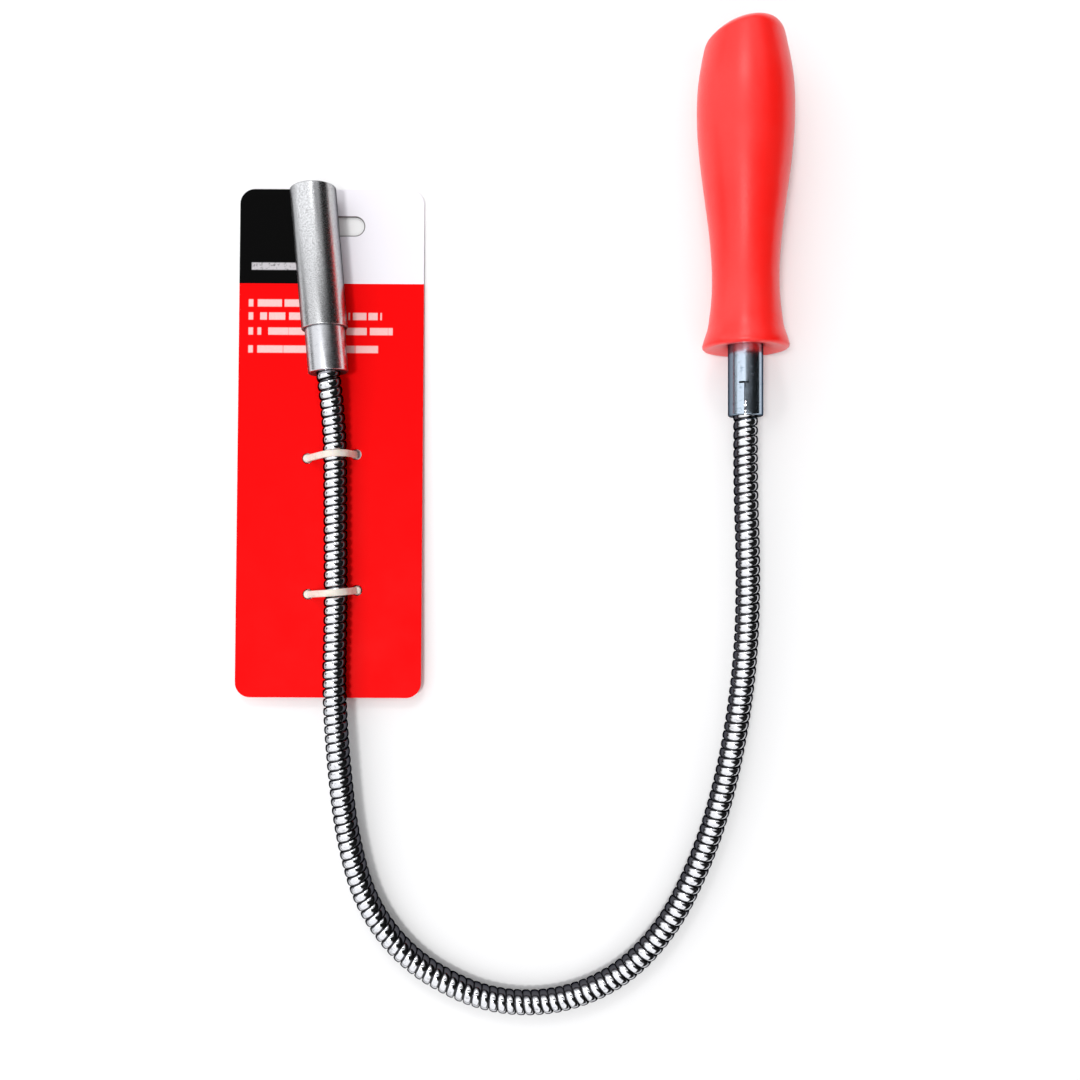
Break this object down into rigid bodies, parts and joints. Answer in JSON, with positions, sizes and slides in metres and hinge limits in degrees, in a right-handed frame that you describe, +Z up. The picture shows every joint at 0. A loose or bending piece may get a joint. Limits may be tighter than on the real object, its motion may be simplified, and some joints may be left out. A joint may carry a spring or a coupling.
{
  "type": "flexible magnetic pick-up tool",
  "caption": "Hand tool for picking up small steel things out of reach: a moulded grip, a bendable steel gooseneck neck and a magnet in a metal sleeve, with its header card tied on.",
  "frame": {"origin": "on the surface that the tool lies on, under the middle of its outline seen from above", "axes": "+Z up from that surface; +Y along the grip, from the neck to the butt; +X from the head towards the grip"},
  "size_m": [0.1696, 0.3008, 0.0288],
  "materials": {
    "grip_red": "gloss, moulded",
    "ferrule_steel": "bright plated",
    "coil_steel": "bright plated wire",
    "core_steel": "drawn wire",
    "collar_steel": "turned and plated",
    "sleeve_metal": "turned, satin",
    "keeper_steel": "turned",
    "magnet_metal": "ground, nickel plated",
    "card_board": "coated card, printed in plain blocks",
    "tie_plastic": "pale, slightly clear"
  },
  "bodies": {
    "handle": {"handle_grip": "grip_red", "handle_ferrule": "ferrule_steel", "outer_coil_root": "coil_steel", "inner_coil_root": "core_steel"},
    "section_01": {"outer_coil_01": "coil_steel", "inner_coil_01": "core_steel"},
    "ring_1": {"outer_coil_ring_1": "coil_steel", "inner_coil_ring_1": "core_steel"},
    "section_02": {"outer_coil_02": "coil_steel", "inner_coil_02": "core_steel"},
    "section_03": {"outer_coil_03": "coil_steel", "inner_coil_03": "core_steel"},
    "section_04": {"outer_coil_04": "coil_steel", "inner_coil_04": "core_steel"},
    "section_05": {"outer_coil_05": "coil_steel", "inner_coil_05": "core_steel"},
    "ring_2": {"outer_coil_ring_2": "coil_steel", "inner_coil_ring_2": "core_steel"},
    "section_06": {"outer_coil_06": "coil_steel", "inner_coil_06": "core_steel"},
    "section_07": {"outer_coil_07": "coil_steel", "inner_coil_07": "core_steel"},
    "section_08": {"outer_coil_08": "coil_steel", "inner_coil_08": "core_steel"},
    "section_09": {"outer_coil_09": "coil_steel", "inner_coil_09": "core_steel"},
    "ring_3": {"outer_coil_ring_3": "coil_steel", "inner_coil_ring_3": "core_steel"},
    "section_10": {"outer_coil_10": "coil_steel", "inner_coil_10": "core_steel"},
    "section_11": {"outer_coil_11": "coil_steel", "inner_coil_11": "core_steel"},
    "section_12": {"outer_coil_12": "coil_steel", "inner_coil_12": "core_steel"},
    "section_13": {"outer_coil_13": "coil_steel", "inner_coil_13": "core_steel"},
    "ring_4": {"outer_coil_ring_4": "coil_steel", "inner_coil_ring_4": "core_steel"},
    "section_14": {"outer_coil_14": "coil_steel", "inner_coil_14": "core_steel"},
    "section_15": {"outer_coil_15": "coil_steel", "inner_coil_15": "core_steel"},
    "tied_section": {"outer_coil_tied": "coil_steel", "inner_coil_tied": "core_steel", "header_card": "card_board", "tie_upper": "tie_plastic", "tie_lower": "tie_plastic"},
    "wrist": {"outer_coil_wrist": "coil_steel", "inner_coil_wrist": "core_steel"},
    "head": {"outer_coil_head": "coil_steel", "inner_coil_head": "core_steel", "head_collar": "collar_steel", "head_sleeve": "sleeve_metal", "keeper_disc": "keeper_steel", "magnet": "magnet_metal"}
  },
  "joints": [
    {"name": "bend_01", "type": "hinge", "parent": "handle", "child": "section_01", "pos_m": [0.07047, 0.01083, 0.01448], "axis": [0, 0, 1], "range_deg": [-30.5, 25.5]},
    {"name": "bend_02", "type": "hinge", "parent": "section_01", "child": "ring_1", "pos_m": [0.07143, -0.01115, 0.0139], "axis": [0, 0, 1], "range_deg": [-25, 31]},
    {"name": "tilt_1", "type": "hinge", "parent": "ring_1", "child": "section_02", "pos_m": [0.07141, -0.01389, 0.01376], "axis": [-1, 0.0087, 0], "range_deg": [-27.5, 28.5]},
    {"name": "bend_03", "type": "hinge", "parent": "section_02", "child": "section_03", "pos_m": [0.07122, -0.03585, 0.01242], "axis": [0, 0, 1], "range_deg": [-23, 33]},
    {"name": "bend_04", "type": "hinge", "parent": "section_03", "child": "section_04", "pos_m": [0.06912, -0.05767, 0.01057], "axis": [0, 0, 1], "range_deg": [-23.5, 32.5]},
    {"name": "bend_05", "type": "hinge", "parent": "section_04", "child": "section_05", "pos_m": [0.06531, -0.07926, 0.00866], "axis": [0, 0, -1], "range_deg": [-34, 22]},
    {"name": "bend_06", "type": "hinge", "parent": "section_05", "child": "ring_2", "pos_m": [0.05927, -0.10033, 0.00684], "axis": [0, 0, -1], "range_deg": [-37, 19]},
    {"name": "tilt_2", "type": "hinge", "parent": "ring_2", "child": "section_06", "pos_m": [0.05811, -0.10282, 0.00664], "axis": [0.9063, -0.4226, 0], "range_deg": [-27.5, 28.5]},
    {"name": "bend_07", "type": "hinge", "parent": "section_06", "child": "section_07", "pos_m": [0.04883, -0.12272, 0.0053], "axis": [0, 0, -1], "range_deg": [-46, 10]},
    {"name": "bend_08", "type": "hinge", "parent": "section_07", "child": "section_08", "pos_m": [0.03384, -0.13879, 0.00434], "axis": [0, 0, -1], "range_deg": [-53, 3]},
    {"name": "bend_09", "type": "hinge", "parent": "section_08", "child": "section_09", "pos_m": [0.01345, -0.14703, 0.00377], "axis": [0, 0, 1], "range_deg": [-3, 53]},
    {"name": "bend_10", "type": "hinge", "parent": "section_09", "child": "ring_3", "pos_m": [-0.00852, -0.14588, 0.00365], "axis": [0, 0, 1], "range_deg": [-3, 53]},
    {"name": "tilt_3", "type": "hinge", "parent": "ring_3", "child": "section_10", "pos_m": [-0.01095, -0.14459, 0.00365], "axis": [0.4695, 0.8829, 0], "range_deg": [-28.3, 27.7]},
    {"name": "bend_11", "type": "hinge", "parent": "section_10", "child": "section_11", "pos_m": [-0.03038, -0.13426, 0.00377], "axis": [0, 0, 1], "range_deg": [-3.5, 52.5]},
    {"name": "bend_12", "type": "hinge", "parent": "section_11", "child": "section_12", "pos_m": [-0.04375, -0.11683, 0.00499], "axis": [0, 0, 1], "range_deg": [-5.5, 50.5]},
    {"name": "bend_13", "type": "hinge", "parent": "section_12", "child": "section_13", "pos_m": [-0.04943, -0.09563, 0.00653], "axis": [0, 0, -1], "range_deg": [-37, 19]},
    {"name": "bend_14", "type": "hinge", "parent": "section_13", "child": "ring_4", "pos_m": [-0.05172, -0.07381, 0.0081], "axis": [0, 0, -1], "range_deg": [-30, 26]},
    {"name": "tilt_4", "type": "hinge", "parent": "ring_4", "child": "section_14", "pos_m": [-0.05191, -0.07107, 0.00825], "axis": [-0.9976, -0.0698, 0], "range_deg": [-32.2, 23.8]},
    {"name": "bend_15", "type": "hinge", "parent": "section_14", "child": "section_15", "pos_m": [-0.05345, -0.04913, 0.00778], "axis": [0.0002, -0.0209, -0.9998], "range_deg": [-33.5, 22.5]},
    {"name": "bend_16", "type": "hinge", "parent": "section_15", "child": "tied_section", "pos_m": [-0.05287, -0.02714, 0.00732], "axis": [0.0002, -0.0209, -0.9998], "range_deg": [-26, 30]},
    {"name": "head_swing", "type": "hinge", "parent": "tied_section", "child": "wrist", "pos_m": [-0.05338, 0.03059, 0.00611], "axis": [-0.0002, 0.0209, 0.9998], "range_deg": [-26.5, 17.5]},
    {"name": "head_lift", "type": "hinge", "parent": "wrist", "child": "head", "pos_m": [-0.05455, 0.04397, 0.00908], "axis": [0.9962, 0.0872, 0], "range_deg": [0, 41]}
  ]
}
